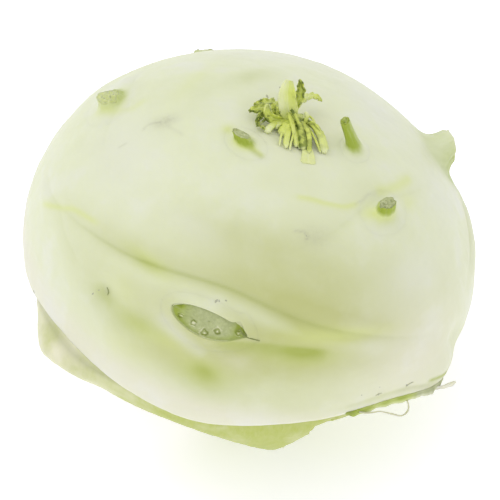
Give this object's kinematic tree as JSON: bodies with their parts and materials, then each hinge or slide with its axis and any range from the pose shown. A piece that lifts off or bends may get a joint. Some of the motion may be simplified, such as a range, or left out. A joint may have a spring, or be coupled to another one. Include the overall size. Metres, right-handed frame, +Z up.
{
  "type": "kohlrabi",
  "caption": "Trimmed white kohlrabi: a squat pale green globe with leaf scars, cut stalk stubs, a trimmed root end and a tuft of young leaves.",
  "frame": {"origin": "middle of the flat that the trimmed root end rests on", "axes": "+Z up as it rests; the growth axis leans 14 degrees from +Z towards +X; the large leaf scar faces -Y"},
  "size_m": [0.1286, 0.13, 0.1054],
  "materials": {
    "skin": "waxy pale green-white skin, low gloss; stands in for plant flesh",
    "leaf": "soft yellow-green young leaf and cut stalk"
  },
  "bodies": {
    "root": {"globe": "skin", "crown_tuft": "leaf"}
  },
  "joints": []
}
